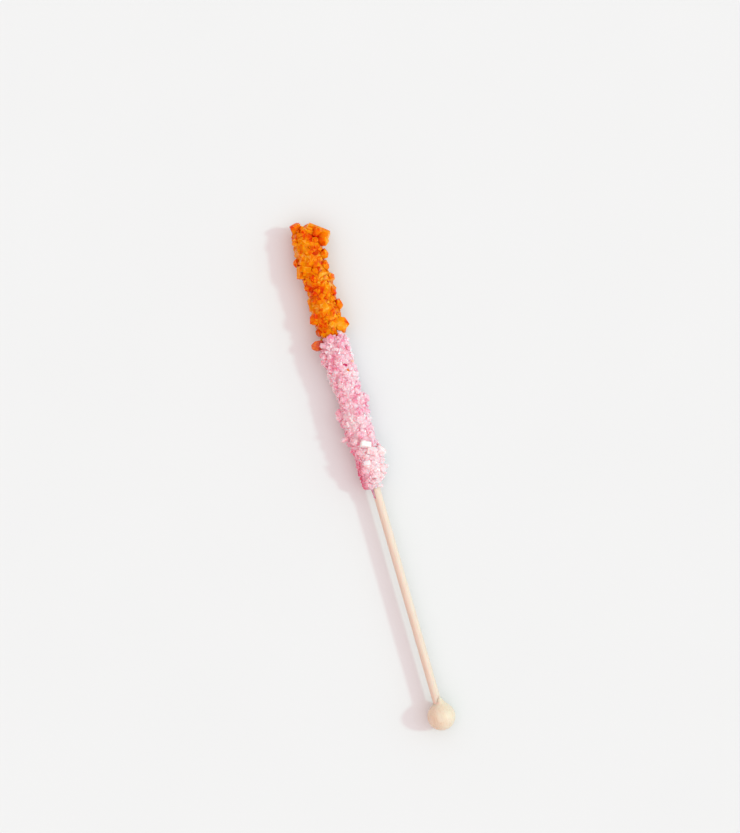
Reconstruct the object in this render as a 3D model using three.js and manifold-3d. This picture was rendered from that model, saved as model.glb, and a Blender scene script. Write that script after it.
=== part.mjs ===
// Rock candy stick: sugar crystals grown in two colours round a birch dowel, with a wooden bead on the dowel's
// free end. It lies on its side, on the bead and on the crystals that reach lowest.
// Units are millimetres, +Z is up and +X runs along the stick from the bead to the candy's tip.
// Each piece is built in the stick's own frame, whose X axis is the dowel's axis and whose X = 0 is the bead's
// outer end. One group then tips that frame so that the stick rests on the plane Z = 0.

import * as THREE from "three";
import { ConvexGeometry } from "three/addons/geometries/ConvexGeometry.js";
import { mergeVertices } from "three/addons/utils/BufferGeometryUtils.js";
import Module from "manifold-3d";

// ---- Driving dimensions, in millimetres ----

const OVERALL_LENGTH = 192; // from the bead's outer end to the last crystal's
const BEAD_DIAMETER = 10.2;
const DOWEL_DIAMETER = 3.2;
const CANDY_START = 92.2; // where the bare dowel goes into the pink crystals
const COLOUR_CHANGE = 149; // where pink gives way to orange
const DOWEL_END = 183; // the dowel stops inside the orange crystals
const SLEEVE_END = 188; // the small crystals under the large ones stop short of the tip
const DOWEL_CHAMFER = 0.3;
const SOCKET_DEPTH = 6; // how far the dowel goes into the bead
const FIT_GAP = 0.3; // room left between one piece and the next
const BEAD_FLAT_DEPTH = 0.08; // how deep the bead's resting spot is worn flat
const REST_DEPTH = 5.2; // how far under the dowel's axis the candy rests, at its middle
const ROUND_SIDES = 24;
const BEAD_STEPS = 12; // from pole to pole
const WELD_DISTANCE = 1e-5; // corners closer than this are one corner

// The lip of wood that stands up from the bead at one side of the dowel: the direction of its peak round the
// stick and how far it spreads over the top and down the right side, in degrees, how high it is, and how far from
// the axis it starts to rise.
const LIP = { side: 128, overTop: 36, downRight: 74, height: 2.4, foot: 3.7 };

const BEAD_RADIUS = BEAD_DIAMETER / 2;
const DOWEL_RADIUS = DOWEL_DIAMETER / 2;
const BORE_RADIUS = DOWEL_RADIUS + FIT_GAP;
const CANDY_MIDDLE = (CANDY_START + OVERALL_LENGTH) / 2;

// The candy's outline seen from above: distance from the bead's outer end, reach to the left (+Y), reach to the
// right (-Y). The underside reaches the resting plane, and the top is as high as the sides are wide on average.
const OUTLINE = [
  [91.5, 3.2, 0.8],
  [93.5, 4.2, 2.4],
  [95.5, 4.7, 5.0],
  [98, 4.8, 6.0],
  [103.5, 4.8, 6.6],
  [107, 5.0, 5.6],
  [113, 5.6, 5.8],
  [120, 6.0, 5.6],
  [124, 4.8, 6.0],
  [129, 5.1, 5.1],
  [135, 5.8, 5.5],
  [141, 5.9, 6.0],
  [146, 4.9, 6.1],
  [149.5, 4.4, 5.8],
  [152.5, 5.5, 5.9],
  [157, 5.9, 6.0],
  [162, 5.2, 6.2],
  [167, 5.1, 6.3],
  [171, 5.4, 6.3],
  [175, 5.9, 5.8],
  [180, 5.6, 6.2],
  [184, 5.1, 6.6],
  [188, 4.4, 5.6],
  [191, 2.6, 3.4],
];

// The sleeve of small crystals under the large ones: how far it lies within the outline, how uneven it is, and
// the grid that it is worked out on.
const SLEEVE = { depth: 1.5, uneven: 0.9, step: 4.2, sides: 9, leastWall: 0.7 };

// The crystals of one colour stand evenly round the candy: the stretch that they cover, how many there are, and
// the smallest and largest length of one.
const PINK = { first: CANDY_START + 1.8, last: COLOUR_CHANGE, count: 126, small: 3.2, large: 5.2, seed: 3 };
const ORANGE = { first: COLOUR_CHANGE + 0.6, last: SLEEVE_END, count: 78, small: 3.6, large: 6.2, seed: 11 };

// What chance may change in a crystal. Width and thickness are shares of its length, reach is a share of the
// candy's, lean is the angle in degrees between its length and straight out, and shoulder is the share of its
// length that its straight sides run, before the roof at each end.
const GROWTH = {
  alongShift: 1.6,
  turnShift: 0.7,
  fewLarge: 1.6, // above 1, small crystals outnumber large ones
  width: [0.62, 0.9],
  thickness: [0.48, 0.74],
  lean: [15, 85],
  reach: [0.88, 1.04],
  shoulder: [0.6, 0.92],
  leastRoot: 1.4, // how far its middle stays within the candy's reach
};

// Crystals that stand out by themselves: the place of each one's middle (along the stick, to the left, up), its
// length, width and thickness, the direction of its length, its turn about that length in degrees, and its
// shoulder. The first orange one squares off the tip, and the one at 173.9 makes a square step. The first pink
// one is a knob, and the one at 107.8 lies flat on top.
const ORANGE_LANDMARKS = [
  { at: [186.8, -5.6, 1.2], size: [9.2, 4.0, 4.4], facing: [-0.62, -0.79, 0.03], turn: 5, shoulder: 0.86 },
  { at: [189.2, 1.7, 0.8], size: [5.6, 4.2, 3.8], facing: [0.9, 0.1, 0.3], turn: 20, shoulder: 0.8 },
  { at: [186.8, -1.6, 1.6], size: [5.4, 5.2, 4.2], facing: [0.8, -0.4, 0.2], turn: 15, shoulder: 0.7 },
  { at: [186.6, -5.2, 2.6], size: [4.4, 3.6, 3.2], facing: [0.5, -0.7, 0.35], turn: 50, shoulder: 0.65 },
  { at: [183.5, -6.3, 1.4], size: [4.8, 4.0, 4.0], facing: [-0.3, -0.9, 0.2], turn: 25, shoulder: 0.65 },
  { at: [177.6, 4.2, 0.8], size: [4.4, 3.0, 2.8], facing: [0.3, 1, 0.1], turn: 35, shoulder: 0.6 },
  { at: [178.4, -4.8, 1.0], size: [4.6, 3.2, 3.2], facing: [0.1, -1, 0.2], turn: 30, shoulder: 0.7 },
  { at: [173.9, 3.7, 1.2], size: [5.0, 4.8, 4.4], facing: [0.96, -0.28, 0.05], turn: 3, shoulder: 0.92 },
  { at: [169.6, -4.6, 1.0], size: [4.8, 3.6, 3.2], facing: [0.4, -1, 0.3], turn: 60, shoulder: 0.6 },
  { at: [159.4, -4.8, 0.8], size: [4.6, 4.0, 3.4], facing: [0, -1, 0.4], turn: 10, shoulder: 0.6 },
  { at: [156.0, 3.8, 1.4], size: [5.0, 4.4, 4.0], facing: [0.2, 0.3, 1], turn: 60, shoulder: 0.7 },
  { at: [152.0, -4.0, 1.4], size: [5.2, 5.6, 4.8], facing: [0.1, -0.3, 1], turn: 50, shoulder: 0.85 },
  { at: [151.6, 3.4, 0.8], size: [4.2, 3.0, 2.8], facing: [-0.6, 0.9, 0], turn: 30, shoulder: 0.6 },
];
const PINK_LANDMARKS = [
  { at: [146.8, 5.5, 0.8], size: [5.8, 3.9, 3.7], facing: [0.1, 1, 0.05], turn: 20, shoulder: 0.45 },
  { at: [141.6, 3.9, 1.2], size: [4.6, 3.8, 3.0], facing: [0.1, 1, 0.4], turn: 15, shoulder: 0.7 },
  { at: [123.9, -4.7, 1.2], size: [4.6, 3.4, 3.0], facing: [0.3, -1, 0.3], turn: 30, shoulder: 0.7 },
  { at: [121.0, 4.4, 0.6], size: [4.6, 3.4, 3.0], facing: [0, 1, 0.2], turn: 50, shoulder: 0.6 },
  { at: [111.7, 4.9, 0.4], size: [5.4, 2.6, 1.6], facing: [-0.24, 1, 0.1], turn: 80, shoulder: 0.6 },
  { at: [107.8, -0.8, 4.5], size: [4.0, 2.8, 3.2], facing: [-0.42, -0.86, -0.25], turn: 8, shoulder: 0.9 },
  { at: [103.8, -4.6, 1.2], size: [5.0, 4.4, 3.8], facing: [0.5, -1, 0.3], turn: 20, shoulder: 0.85 },
  { at: [104.9, -2.2, 4.0], size: [4.0, 3.4, 3.2], facing: [-0.42, -0.86, -0.2], turn: 20, shoulder: 0.8 },
  { at: [100.6, 0.3, 4.2], size: [3.6, 3.2, 2.8], facing: [0.5, 0.3, 0.4], turn: 30, shoulder: 0.75 },
  { at: [98.0, -3.7, 1.4], size: [4.4, 3.4, 3.0], facing: [-0.4, -1, 0.3], turn: 65, shoulder: 0.7 },
  { at: [94.1, 2.0, 0.8], size: [4.0, 2.8, 2.6], facing: [-0.8, 0.6, 0.1], turn: 20, shoulder: 0.7 },
];

// A sugar crystal's six-sided section across its width and thickness, and half the width of the roof ridge that
// closes each end, all as shares of the crystal's half sizes.
const SECTION = [
  [1, 0.25],
  [0.5, 1],
  [-0.7, 1],
  [-1, -0.25],
  [-0.5, -1],
  [0.7, -1],
];
const RIDGE_HALF_WIDTH = 0.4;

const wasm = await Module();
wasm.setup();

// ---- Solids ----

// A closed three.js geometry as a manifold-3d solid.
function solidOf(geometry) {
  const bare = geometry.clone();
  bare.deleteAttribute("normal");
  bare.deleteAttribute("uv");
  const merged = mergeVertices(bare, WELD_DISTANCE);
  const mesh = new wasm.Mesh({
    numProp: 3,
    vertProperties: merged.attributes.position.array,
    triVerts: new Uint32Array(merged.index.array),
  });
  return new wasm.Manifold(mesh);
}

// A manifold-3d solid as a flat-shaded three.js geometry.
function geometryOf(solid) {
  const { vertProperties, triVerts } = solid.getMesh();
  const indexed = new THREE.BufferGeometry();
  indexed.setAttribute("position", new THREE.BufferAttribute(new Float32Array(vertProperties), 3));
  indexed.setIndex(new THREE.BufferAttribute(new Uint32Array(triVerts), 1));
  const flat = indexed.toNonIndexed();
  flat.computeVertexNormals();
  return flat;
}

// The largest body of a solid: loose scraps go, and a sealed hollow is filled.
function largestBody(solid) {
  const bodies = solid.decompose();
  return bodies.reduce((a, b) => (b.volume() > a.volume() ? b : a));
}

// A solid of revolution round the stick's axis. The profile is a list of [distance along, radius].
function lathed(profile) {
  const points = profile.map(([along, radius]) => new THREE.Vector2(radius, along));
  const lathe = new THREE.LatheGeometry(points, ROUND_SIDES);
  return lathe.rotateZ(-Math.PI / 2);
}

// ---- The candy's form ----

// The reach to the left and to the right at a place along the stick.
function sideReach(along) {
  const after = Math.max(1, OUTLINE.findIndex(([x]) => x >= along));
  const [x0, left0, right0] = OUTLINE[after - 1];
  const [x1, left1, right1] = OUTLINE[after];
  const share = THREE.MathUtils.clamp((along - x0) / (x1 - x0), 0, 1);
  return [THREE.MathUtils.lerp(left0, left1, share), THREE.MathUtils.lerp(right0, right1, share)];
}

// How far under the dowel's axis the resting plane is: it touches the bead and the candy's middle.
const BEAD_REST_DEPTH = BEAD_RADIUS - BEAD_FLAT_DEPTH;
const REST_SLOPE = (REST_DEPTH - BEAD_REST_DEPTH) / (CANDY_MIDDLE - BEAD_RADIUS);
const restDepth = (along) => BEAD_REST_DEPTH + REST_SLOPE * (along - BEAD_RADIUS);

// The candy's radius at a place along it and an angle round it, from 0 at the left over the top: each quarter is
// part of an ellipse, and the underside just reaches the resting plane.
function reachAt(along, angle) {
  const [left, right] = sideReach(along);
  const average = (left + right) / 2;
  const sideways = Math.cos(angle) > 0 ? left : right;
  const upright = Math.sin(angle) > 0 ? average : Math.min(average, restDepth(along) + FIT_GAP);
  return 1 / Math.hypot(Math.cos(angle) / sideways, Math.sin(angle) / upright);
}

// A number from 0 to 1 that looks random and is the same each time.
function chance(seed, index, draw) {
  const wave = Math.sin(seed * 37.719 + index * 12.9898 + draw * 78.233) * 43758.5453;
  return wave - Math.floor(wave);
}

// The sleeve from one place along the stick to another, grown outwards by a margin. Its rings are uneven, so that
// its flat faces pass for small crystals, and its two ends are flat.
function sleeve(first, last, margin = 0) {
  const { depth, uneven, step, sides, leastWall } = SLEEVE;
  const rings = Math.ceil((last - first) / step);
  const points = [];
  for (let ring = 0; ring <= rings; ring++) {
    const along = first + ((last - first) * ring) / rings;
    for (let side = 0; side < sides; side++) {
      const angle = (2 * Math.PI * (side + (ring % 2) / 2)) / sides;
      const radius = reachAt(along, angle) - depth + uneven * (chance(sides, ring, side) - 0.5);
      const outer = Math.max(radius, BORE_RADIUS + leastWall) + margin;
      points.push(along, outer * Math.cos(angle), outer * Math.sin(angle));
    }
  }
  points.push(first, 0, 0, last, 0, 0);
  const [firstMiddle, lastMiddle] = [(rings + 1) * sides, (rings + 1) * sides + 1];
  const faces = [];
  for (let side = 0; side < sides; side++) {
    const next = (side + 1) % sides;
    for (let ring = 0; ring < rings; ring++) {
      const [a, b] = [ring * sides + side, ring * sides + next];
      const [c, d] = [a + sides, b + sides];
      faces.push(...(ring % 2 ? [a, b, d, a, d, c] : [a, b, c, b, d, c]));
    }
    faces.push(firstMiddle, next, side);
    faces.push(lastMiddle, rings * sides + side, rings * sides + next);
  }
  const geometry = new THREE.BufferGeometry();
  geometry.setAttribute("position", new THREE.Float32BufferAttribute(points, 3));
  geometry.setIndex(faces);
  return geometry;
}

// ---- Crystals ----

// One crystal, lengthwise along its own X axis, grown by a margin on every side.
function crystalGeometry([length, width, thickness], shoulder, margin = 0) {
  const [a, b, c] = [length / 2 + margin, width / 2 + margin, thickness / 2 + margin];
  const points = [];
  for (const end of [-1, 1]) {
    for (const [across, over] of SECTION) {
      points.push(new THREE.Vector3(end * shoulder * a, across * b, over * c));
    }
    for (const side of [-1, 1]) {
      points.push(new THREE.Vector3(end * a, side * RIDGE_HALF_WIDTH * b, 0));
    }
  }
  return new ConvexGeometry(points);
}

// How far a geometry reaches in a direction from its own origin.
function reachOf(geometry, direction) {
  const positions = geometry.attributes.position;
  const point = new THREE.Vector3();
  let most = 0;
  for (let i = 0; i < positions.count; i++) {
    most = Math.max(most, point.fromBufferAttribute(positions, i).dot(direction));
  }
  return most;
}

// A crystal's turn: its length along a direction, after a turn about that length.
function turnTo(direction, turn) {
  const lengthwise = new THREE.Vector3(1, 0, 0);
  const toDirection = new THREE.Quaternion().setFromUnitVectors(lengthwise, direction);
  return toDirection.multiply(new THREE.Quaternion().setFromAxisAngle(lengthwise, turn));
}

// The crystals of one colour. They follow a golden-angle spiral round the candy, each moved, sized and tipped by
// chance, and their outer ends come near the outline.
function scatteredCrystals({ first, last, count, small, large, seed }, margin) {
  const goldenAngle = Math.PI * (3 - Math.sqrt(5));
  const made = [];
  for (let i = 0; i < count; i++) {
    const between = ([low, high], draw) => THREE.MathUtils.lerp(low, high, chance(seed, i, draw));
    const shift = GROWTH.alongShift * between([-0.5, 0.5], 1);
    const along = THREE.MathUtils.lerp(first, last, (i + 0.5) / count) + shift;
    const angle = i * goldenAngle + GROWTH.turnShift * between([-0.5, 0.5], 2);
    const length = THREE.MathUtils.lerp(small, large, chance(seed, i, 3) ** GROWTH.fewLarge);
    const size = [length, length * between(GROWTH.width, 4), length * between(GROWTH.thickness, 5)];
    const shoulder = between(GROWTH.shoulder, 11);
    const outward = new THREE.Vector3(0, Math.cos(angle), Math.sin(angle));
    const lean = THREE.MathUtils.degToRad(between(GROWTH.lean, 6));
    const leanAxis = new THREE.Vector3(1, 0, 0).applyAxisAngle(outward, between([0, 2 * Math.PI], 7));
    const turn = turnTo(outward.clone().applyAxisAngle(leanAxis, lean), between([0, 2 * Math.PI], 8));
    const outerEnd = reachAt(along, angle) * between(GROWTH.reach, 9);
    const ownReach = reachOf(crystalGeometry(size, shoulder).applyQuaternion(turn), outward);
    const middle = Math.min(outerEnd - ownReach, reachAt(along, angle) - GROWTH.leastRoot);
    const geometry = crystalGeometry(size, shoulder, margin).applyQuaternion(turn);
    made.push(geometry.translate(along, outward.y * middle, outward.z * middle));
  }
  return made;
}

// The crystals that stand out.
function landmarkCrystals(landmarks, margin) {
  return landmarks.map(({ at, size, facing, turn, shoulder }) => {
    const direction = new THREE.Vector3(...facing).normalize();
    const geometry = crystalGeometry(size, shoulder, margin);
    return geometry.applyQuaternion(turnTo(direction, THREE.MathUtils.degToRad(turn))).translate(...at);
  });
}

// ---- Pieces ----

// Everything under the resting plane, in the stick's frame.
function underRestPlane() {
  const size = 2 * OVERALL_LENGTH;
  const block = new THREE.BoxGeometry(size, size, size);
  block.translate(0, 0, -size / 2);
  block.rotateY(Math.atan(REST_SLOPE));
  return solidOf(block.translate(BEAD_RADIUS, 0, -BEAD_REST_DEPTH));
}

// A rod on the stick's axis, from one place along it to another, with chamfered ends.
function rod(first, last, radius, chamfer = 0) {
  const start = chamfer ? [[first, radius - chamfer]] : [];
  const end = chamfer ? [[last, radius - chamfer]] : [];
  return lathed([[first, 0], ...start, [first + chamfer, radius], [last - chamfer, radius], ...end, [last, 0]]);
}

// The bead's lip: a fan of slopes from the ball up to the socket's edge, highest at the peak, closed at the ball's
// middle.
function lipGeometry() {
  const points = [new THREE.Vector3(BEAD_RADIUS, 0, 0)];
  for (const spreads of [-1.6, -0.8, 0, 0.8, 1.6]) {
    const turn = spreads * (spreads < 0 ? LIP.overTop : LIP.downRight);
    const angle = THREE.MathUtils.degToRad(LIP.side + turn);
    const raised = LIP.height * Math.exp(-(spreads ** 2));
    for (const [radius, rise] of [
      [LIP.foot, 0],
      [BORE_RADIUS, raised],
    ]) {
      const along = BEAD_RADIUS + Math.sqrt(BEAD_RADIUS ** 2 - radius ** 2) + rise;
      points.push(new THREE.Vector3(along, radius * Math.cos(angle), radius * Math.sin(angle)));
    }
  }
  return new ConvexGeometry(points);
}

// The bead: a ball with its lip, less its socket for the dowel and what is under the spot that it rests on.
function beadGeometry(underside) {
  const profile = [];
  for (let i = 0; i <= BEAD_STEPS; i++) {
    const angle = (Math.PI * i) / BEAD_STEPS;
    profile.push([BEAD_RADIUS * (1 - Math.cos(angle)), BEAD_RADIUS * Math.sin(angle)]);
  }
  const ball = solidOf(lathed(profile)).add(solidOf(lipGeometry()));
  const socket = solidOf(rod(BEAD_DIAMETER - SOCKET_DEPTH, BEAD_DIAMETER + LIP.height, BORE_RADIUS));
  return geometryOf(ball.subtract(socket).subtract(underside));
}

// The fused crystals of one colour on their sleeve, grown by a margin.
function candyMass(first, last, scatter, landmarks, margin = 0) {
  const core = sleeve(first - margin, last + margin, margin);
  const crystals = [...scatteredCrystals(scatter, margin), ...landmarkCrystals(landmarks, margin)];
  return wasm.Manifold.union([core, ...crystals].map(solidOf));
}

// One colour of the candy, with the dowel's bore cut out of it and what is under the resting plane cut off.
function candyGeometry(mass, boreEnd, underside) {
  const bore = solidOf(rod(0, boreEnd, BORE_RADIUS));
  return geometryOf(largestBody(mass.subtract(bore).subtract(underside)));
}

// ---- The object ----

const birch = new THREE.MeshStandardMaterial({ color: 0xf1dcc6, roughness: 0.7, metalness: 0 });
const beadWood = new THREE.MeshStandardMaterial({ color: 0xf0dcbf, roughness: 0.6, metalness: 0 });
const orangeSugar = new THREE.MeshStandardMaterial({ color: 0xf07a14, roughness: 0.2, metalness: 0 });
const pinkSugar = new THREE.MeshStandardMaterial({ color: 0xf3b4c3, roughness: 0.2, metalness: 0 });

const underside = underRestPlane();
const orangeMass = candyMass(COLOUR_CHANGE, SLEEVE_END, ORANGE, ORANGE_LANDMARKS);
const orangeRoom = candyMass(COLOUR_CHANGE, SLEEVE_END, ORANGE, ORANGE_LANDMARKS, FIT_GAP);
const pinkMass = candyMass(CANDY_START, COLOUR_CHANGE, PINK, PINK_LANDMARKS).subtract(orangeRoom);

const stick = new THREE.Group();
for (const [name, geometry, material] of [
  ["dowel", rod(BEAD_DIAMETER - SOCKET_DEPTH + FIT_GAP, DOWEL_END, DOWEL_RADIUS, DOWEL_CHAMFER), birch],
  ["bead", beadGeometry(underside), beadWood],
  ["candy_pink", candyGeometry(pinkMass, OVERALL_LENGTH, underside), pinkSugar],
  ["candy_orange", candyGeometry(orangeMass, DOWEL_END + FIT_GAP, underside), orangeSugar],
]) {
  const mesh = new THREE.Mesh(geometry, material);
  mesh.name = name;
  stick.add(mesh);
}

// The stick's frame is tipped so that the resting plane is level, and moved so that the origin is under the
// middle of the whole.
stick.rotation.y = -Math.atan(REST_SLOPE);
const rockCandyStick = new THREE.Group();
rockCandyStick.add(stick);
rockCandyStick.updateMatrixWorld(true);
const box = new THREE.Box3().setFromObject(rockCandyStick, true);
const middleOfBox = box.getCenter(new THREE.Vector3());
stick.position.set(-middleOfBox.x, -middleOfBox.y, -box.min.z);

export default rockCandyStick;
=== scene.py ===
# %% [markdown]
# # A rock candy stick
# Rock candy is sugar grown into crystals on a thin wooden dowel, here in two colours, with a turned wooden
# bead on the end that is held. One sees hundreds of hard, glossy, clouded blocks that meet at every angle.
# They could be sculpted, or faked with a bumpy material, but crystals are flat faces with sharp edges, so each
# one is a closed solid here, and they are fused as they are on the stick.

# %% Load the fixed frame
import math
from collections import namedtuple

import bmesh
import bpy
import numpy as np
from mathutils import Matrix, Vector


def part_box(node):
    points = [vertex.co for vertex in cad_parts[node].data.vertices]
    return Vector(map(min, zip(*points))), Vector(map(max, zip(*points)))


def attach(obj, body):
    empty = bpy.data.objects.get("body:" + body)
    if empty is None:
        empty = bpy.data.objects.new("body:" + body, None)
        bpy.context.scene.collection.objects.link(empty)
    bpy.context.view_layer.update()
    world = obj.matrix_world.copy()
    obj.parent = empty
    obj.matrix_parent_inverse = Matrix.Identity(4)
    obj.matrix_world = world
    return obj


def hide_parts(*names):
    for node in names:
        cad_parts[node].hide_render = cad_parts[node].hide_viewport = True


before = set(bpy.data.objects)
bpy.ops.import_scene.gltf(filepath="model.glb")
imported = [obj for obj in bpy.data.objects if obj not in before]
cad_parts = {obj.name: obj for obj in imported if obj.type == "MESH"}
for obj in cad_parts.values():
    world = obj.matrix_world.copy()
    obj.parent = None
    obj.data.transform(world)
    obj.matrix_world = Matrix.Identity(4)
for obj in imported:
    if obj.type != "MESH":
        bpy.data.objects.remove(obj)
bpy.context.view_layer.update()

MM = 0.001  # the frame is in metres, and the stick's own sizes are in millimetres

# %% [markdown]
# ## The stick's own frame
# All forms are worked out in millimetres along the stick: x = 0 is the bead's outer end, the x axis is the
# dowel's axis, y is to its left and z is up. On the table the stick tips a little, because the bead and the
# crystals aren't equally thick. The bead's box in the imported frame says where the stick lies, so one function
# can place every piece.

# %% Sizes along the stick, in millimetres
CANDY_START = 92.2
COLOUR_CHANGE = 149
SLEEVE_END = 188
OVERALL_LENGTH = 192
DOWEL_RADIUS = 1.6
DOWEL_END = 183
SOCKET_DEPTH = 6
FIT_GAP = 0.3
REST_DEPTH = 5.2  # how far under the axis the candy rests, at its middle

bead_low, bead_high = (np.array(corner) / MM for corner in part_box("bead"))
BEAD_RADIUS = (bead_high[1] - bead_low[1]) / 2
BEAD_REST_DEPTH = bead_high[2] - BEAD_RADIUS
REST_SLOPE = (REST_DEPTH - BEAD_REST_DEPTH) / ((CANDY_START + OVERALL_LENGTH) / 2 - BEAD_RADIUS)
bead_middle = np.array([bead_low[0] + BEAD_RADIUS, (bead_low[1] + bead_high[1]) / 2, BEAD_REST_DEPTH])
print(f"bead radius {BEAD_RADIUS:.2f} mm, its middle at {bead_middle.round(2)}, slope {REST_SLOPE:.5f}")


# %% Place a shape on the table
def placed(points):
    """Stick millimetres to metres in the frame: a turn about y by the rest slope, round the bead's middle."""
    x, y, z = (np.asarray(points, float) - (BEAD_RADIUS, 0, 0)).T
    tip = math.atan(REST_SLOPE)
    turned = [x * math.cos(tip) - z * math.sin(tip), y, x * math.sin(tip) + z * math.cos(tip)]
    return (np.stack(turned, axis=1) + bead_middle) * MM


def rest_depth(along):
    """How far under the axis the table is: a straight line from the bead's depth to the candy's."""
    return BEAD_REST_DEPTH + REST_SLOPE * (along - BEAD_RADIUS)


print(f"under the tip the table is {rest_depth(OVERALL_LENGTH):.2f} mm below the axis")

# %% [markdown]
# ## The candy's form
# The candy is thicker in some places than in others. An outline of its reach to the left and right gives its
# section anywhere along it, each quarter of it part of an ellipse. Numbers that look random come from a
# formula instead of a generator, so that the same crystal always gets the same ones.

# %% Outline and chance
OUTLINE = np.array(
    [  # along the stick, reach to the left, reach to the right
        [91.5, 3.2, 0.8], [93.5, 4.2, 2.4], [95.5, 4.7, 5.0], [98, 4.8, 6.0], [103.5, 4.8, 6.6],
        [107, 5.0, 5.6], [113, 5.6, 5.8], [120, 6.0, 5.6], [124, 4.8, 6.0], [129, 5.1, 5.1],
        [135, 5.8, 5.5], [141, 5.9, 6.0], [146, 4.9, 6.1], [149.5, 4.4, 5.8], [152.5, 5.5, 5.9],
        [157, 5.9, 6.0], [162, 5.2, 6.2], [167, 5.1, 6.3], [171, 5.4, 6.3], [175, 5.9, 5.8],
        [180, 5.6, 6.2], [184, 5.1, 6.6], [188, 4.4, 5.6], [191, 2.6, 3.4],
    ]
)
SCATTER = (37.719, 12.9898, 78.233, 43758.5453)  # unrelated numbers, so that no pattern shows


def reach_at(along, angle):
    """The candy's radius. With c and s the angle's cosine and sine, 1 / radius² = (c / side)² + (s / up)²."""
    left, right = (np.interp(along, OUTLINE[:, 0], OUTLINE[:, side]) for side in (1, 2))
    average = (left + right) / 2
    sideways = np.where(np.cos(angle) > 0, left, right)
    under = np.minimum(average, rest_depth(along) + FIT_GAP)
    upright = np.where(np.sin(angle) > 0, average, under)
    return 1 / np.hypot(np.cos(angle) / sideways, np.sin(angle) / upright)


def chance(seed, index, draw):
    """A number from 0 to 1: what follows the point in a large multiple of a sine of all three, weighted."""
    a, b, c, large = SCATTER
    wave = np.sin(seed * a + index * b + draw * c) * large
    return wave - np.floor(wave)


print("the candy is", np.round(2 * reach_at(np.array([100, 130, 160]), 0.0), 1), "mm wide at three places")

# %% [markdown]
# ## One crystal
# A sugar crystal is a blocky prism with six sides, closed at each end by a roof. It is made once, and every
# crystal on the stick is that block stretched, turned and moved. Blender's convex hull finds its faces. Syrup
# has washed the large crystals, so a second version has chamfered edges; on the hundreds of small pink ones
# that would cost too many faces. Some end in a steep roof and some are nearly cut square, so each has its own
# shoulder, the place along its length where the roof starts.

# %% The unit crystal
SECTION = [(1, 0.25), (0.5, 1), (-0.7, 1), (-1, -0.25), (-0.5, -1), (0.7, -1)]
SHOULDER = 0.6
RIDGE_HALF_WIDTH = 0.4
EDGE_CHAMFER = 0.07  # in half widths
ONE_FACET = 0.01  # radians: triangles that turn less than this are one facet


def unit_crystal(chamfer=0.0):
    """Corners, faces and each face's facet number. Corners: the section at ±shoulder and a ridge at ±1."""
    corners = [(end * SHOULDER, across, over) for end in (-1, 1) for across, over in SECTION]
    corners += [(end, side * RIDGE_HALF_WIDTH, 0) for end in (-1, 1) for side in (-1, 1)]
    shape = bmesh.new()
    for corner in corners:
        shape.verts.new(corner)
    bmesh.ops.convex_hull(shape, input=shape.verts)
    bmesh.ops.dissolve_limit(shape, angle_limit=ONE_FACET, verts=shape.verts, edges=shape.edges)
    for number, face in enumerate(shape.faces):
        face.material_index = number
    if chamfer:
        bmesh.ops.bevel(
            shape, geom=shape.edges[:], offset=chamfer, offset_type="OFFSET", segments=1, profile=0.5,
            affect="EDGES", material=-1,
        )
    bmesh.ops.recalc_face_normals(shape, faces=shape.faces)
    shape.verts.index_update()
    points = np.array([vertex.co[:] for vertex in shape.verts])
    faces = [[vertex.index for vertex in face.verts] for face in shape.faces]
    facets = np.array([face.material_index for face in shape.faces])
    shape.free()
    return points, faces, facets


SHARP = unit_crystal()
WASHED = unit_crystal(EDGE_CHAMFER)
print(f"a sharp crystal has {len(SHARP[1])} faces, a washed one {len(WASHED[1])}")

# %% Stretch, turn and move it
Crystals = namedtuple("Crystals", "middle half turn shoulder")


def corners_of(crystals, points=SHARP[0]):
    """Corners of every crystal. Along its length the part inside the shoulder and the roof scale apart."""
    reach = np.abs(points[:, 0])
    inside, roof = np.minimum(reach, SHOULDER) / SHOULDER, np.maximum(reach - SHOULDER, 0) / (1 - SHOULDER)
    shoulder = crystals.shoulder[:, None]
    along = np.sign(points[:, 0]) * (inside * shoulder + roof * (1 - shoulder))
    local = np.stack([along, *np.broadcast_to(points[:, 1:].T[:, None], (2, *along.shape))], axis=-1)
    turned = np.einsum("nij,nvj->nvi", crystals.turn, local * crystals.half[:, None])
    return turned + crystals.middle[:, None]


def together(*kinds):
    """Several kinds of crystal as one."""
    return Crystals(*(np.concatenate(arrays) for arrays in zip(*kinds)))


print("each crystal is", len(SHARP[0]), "corners, turned and stretched all at once")

# %% [markdown]
# ## Crystals on a spiral
# On a real stick the crystals start anywhere and crowd each other evenly. Points drawn at random would leave
# bald patches, so they follow a golden-angle spiral, as seeds do in a sunflower, and chance only moves, sizes
# and tips each one. All crystals of a kind are worked out at once as arrays.

# %% Spread crystals evenly
GOLDEN_ANGLE = math.pi * (3 - math.sqrt(5))
PINK = dict(first=CANDY_START + 1.8, last=COLOUR_CHANGE, count=126, small=3.2, large=5.2, seed=3)
ORANGE = dict(first=COLOUR_CHANGE + 0.6, last=SLEEVE_END, count=78, small=3.6, large=6.2, seed=11)
ALONG_SHIFT, TURN_SHIFT = 1.6, 0.7  # millimetres and radians: the ranges in which chance moves each one
FEW_LARGE = 1.6  # the power that makes large crystals rarer
WIDTH_SHARE, THICKNESS_SHARE = (0.62, 0.9), (0.48, 0.74)  # of the length
LEAN = (15, 85)  # degrees away from straight out
REACH_SHARE = (0.88, 1.04)  # of the outline, where the outer end comes
LEAST_ROOT = 1.4  # how far under the outline the middle stays
SHOULDER_SHARE = (0.6, 0.92)  # of the half length


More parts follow.
